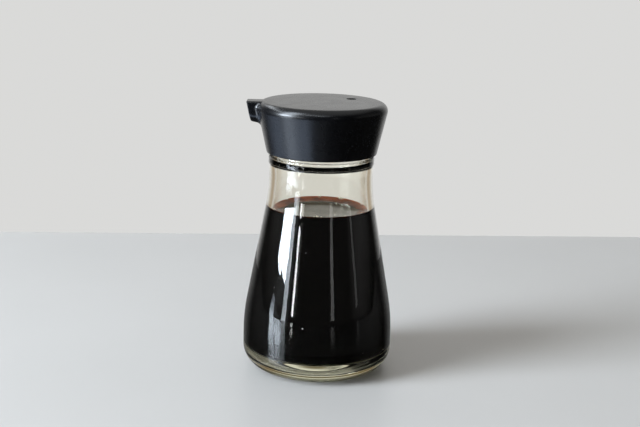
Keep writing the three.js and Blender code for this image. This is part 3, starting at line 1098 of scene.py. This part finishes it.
def stage_world(stage):
    """A pale room: light behind the bottle, dim in front of it, and pale wherever it is seen directly."""
    world = bpy.data.worlds.new("pale_room")
    world.use_nodes = True
    tree = world.node_tree
    tree.nodes.clear()
    way = add_node(tree, "ShaderNodeTexCoord").outputs["Generated"]
    parts = add_node(tree, "ShaderNodeSeparateXYZ", {0: way}).outputs
    across = math_node(tree, "ABSOLUTE", parts["X"])
    behind = ranged(tree, parts["Y"], *BEHIND, kind="SMOOTHSTEP")
    above = ranged(tree, parts["Z"], *ABOVE, kind="SMOOTHSTEP")
    aside = math_node(
        tree, "MULTIPLY", ranged(tree, across, *ASIDE), ranged(tree, parts["Z"], *ASIDE_FOOT)
    )
    level = math_node(tree, "MAXIMUM", math_node(tree, "MAXIMUM", behind, above), aside)
    path = add_node(tree, "ShaderNodeLightPath").outputs
    seen = math_node(tree, "MAXIMUM", path["Is Camera Ray"], path["Is Transmission Ray"])
    unseen = math_node(tree, "SUBTRACT", 1.0, seen)
    strength = math_node(tree, "ADD", seen, math_node(tree, "MULTIPLY", unseen, level))
    side = math_node(
        tree, "MULTIPLY", ranged(tree, across, *SIDE_INNER), ranged(tree, across, *SIDE_OUTER)
    )
    side = math_node(tree, "MULTIPLY", side, ranged(tree, parts["Y"], *SIDE_BACK))
    side = math_node(tree, "MULTIPLY", side, path["Is Transmission Ray"])
    tone = blended(tree, side, stage.wall_colour, stage.side_colour)
    shelf = math_node(
        tree, "MULTIPLY", ranged(tree, parts["Z"], *SHELF_LOWER), ranged(tree, parts["Z"], *SHELF_UPPER)
    )
    shelf = math_node(tree, "MULTIPLY", shelf, path["Is Transmission Ray"])
    tone = blended(tree, shelf, tone, stage.shelf_colour)
    shine = add_node(tree, "ShaderNodeBackground", {0: tone, 1: strength})
    add_node(tree, "ShaderNodeOutputWorld", {0: shine.outputs[0]})
    bpy.context.scene.world = world


def floor_material(stage):
    """Plain pale table top: matte where it is seen, glossy where the pieces mirror it."""
    material, tree, shader, output, place = new_material("pale_table", {"Roughness": 0.42})
    tone = ranged(tree, noise_value(tree, place, scale=9.0, detail=3.0), 0.3, 0.7)
    tree.links.new(clouded(tree, tone, stage.floor_colour, 0.96), shader.inputs["Base Color"])
    path = add_node(tree, "ShaderNodeLightPath").outputs
    mirrored = math_node(
        tree, "MULTIPLY", path["Is Reflection Ray"], math_node(tree, "SUBTRACT", 1.0, path["Is Diffuse Ray"])
    )
    gloss = add_node(
        tree, "ShaderNodeBsdfPrincipled",
        {"Base Color": (*stage.mirrored_floor, 1.0), "Roughness": 0.2, "IOR": 1.8},
    )
    both = add_node(tree, "ShaderNodeMixShader", {0: mirrored, 1: shader.outputs[0], 2: gloss.outputs[0]})
    tree.links.new(both.outputs[0], output.inputs["Surface"])
    return material


def photo_camera(stage):
    """A camera at the photo's angle."""
    data = bpy.data.cameras.new("photo_camera")
    data.sensor_fit = "HORIZONTAL"
    data.sensor_width = 36.0
    data.lens = stage.focal
    data.clip_start = 0.01
    camera = add_object("photo_camera", data)
    pitch, roll = stage.camera_pitch, stage.camera_roll
    forward = Vector((0.0, math.cos(pitch), -math.sin(pitch)))
    right = Vector((1.0, 0.0, 0.0))
    up = right.cross(forward)
    across = math.cos(roll) * right + math.sin(roll) * up
    upright = math.cos(roll) * up - math.sin(roll) * right
    turn = Matrix((across, upright, -forward)).transposed().to_4x4()
    place = Matrix.Translation((0.0, -stage.camera_distance, stage.camera_height))
    camera.matrix_world = place @ turn
    return camera


class BOTTLE_OT_stage(bpy.types.Operator):
    """Make the table, the lights and the camera"""

    bl_idname = "bottle.stage"
    bl_label = "Stage"

    def execute(self, context):
        stage = context.scene.bottle_stage
        mesh = bpy.data.meshes.new("table_top")
        half, front, back = stage.table_half, -stage.table_front, stage.table_back
        slope = half * math.tan(stage.table_turn)
        outline = [(-half, front), (half, front), (half, back + slope), (-half, back - slope)]
        below = -0.05 * MM
        mesh.from_pydata([(x, y, below) for x, y in outline], [], [(0, 1, 2, 3)])
        mesh.materials.append(floor_material(stage))
        add_object("table_top", mesh)
        stage_world(stage)
        for panel in WINDOW_PANELS:
            softbox(*panel)
        for panel in CEILING_STRIPS:
            softbox(*panel).visible_diffuse = False
        for card in GLARE_CARDS:
            glare_card(stage, *card)
        for panel in RIGHT_PANELS:
            softbox(*panel)
        context.scene.camera = photo_camera(stage)
        context.scene.view_settings.view_transform = "Standard"
        return {"FINISHED"}


class BOTTLE_PT_panel(bpy.types.Panel):
    """Lists the steps and sizes of the bottle"""

    bl_idname = "BOTTLE_PT_panel"
    bl_label = "Soy Sauce Bottle"
    bl_space_type = "VIEW_3D"
    bl_region_type = "UI"
    bl_category = "Bottle"

    def draw(self, context):
        for operator in OPERATORS:
            self.layout.operator(operator.bl_idname)
        for name in GROUPS:
            box = self.layout.box()
            group = getattr(context.scene, name)
            for prop in group.bl_rna.properties:
                if prop.identifier not in {"rna_type", "name"}:
                    box.prop(group, prop.identifier)


GROUPS = {
    "bottle_glass": GlassSizes,
    "bottle_sauce": SauceSizes,
    "bottle_cap": CapSizes,
    "bottle_stage": StageSizes,
}
OPERATORS = (
    BOTTLE_OT_glass,
    BOTTLE_OT_sauce,
    BOTTLE_OT_bubbles,
    BOTTLE_OT_cap,
    BOTTLE_OT_dust,
    BOTTLE_OT_stage,
)


def register():
    """Registers the classes and the sizes."""
    for item in (*GROUPS.values(), *OPERATORS, BOTTLE_PT_panel):
        bpy.utils.register_class(item)
    for name, group in GROUPS.items():
        setattr(bpy.types.Scene, name, PointerProperty(type=group))


def unregister():
    """Takes the sizes and the classes away again."""
    for name in GROUPS:
        delattr(bpy.types.Scene, name)
    for item in reversed((*GROUPS.values(), *OPERATORS, BOTTLE_PT_panel)):
        bpy.utils.unregister_class(item)


def main():
    """Makes every piece and the stage."""
    register()
    bpy.ops.bottle.glass()
    bpy.ops.bottle.sauce()
    bpy.ops.bottle.bubbles()
    bpy.ops.bottle.cap()
    bpy.ops.bottle.dust()
    bpy.ops.bottle.stage()


if __name__ == "__main__":
    main()
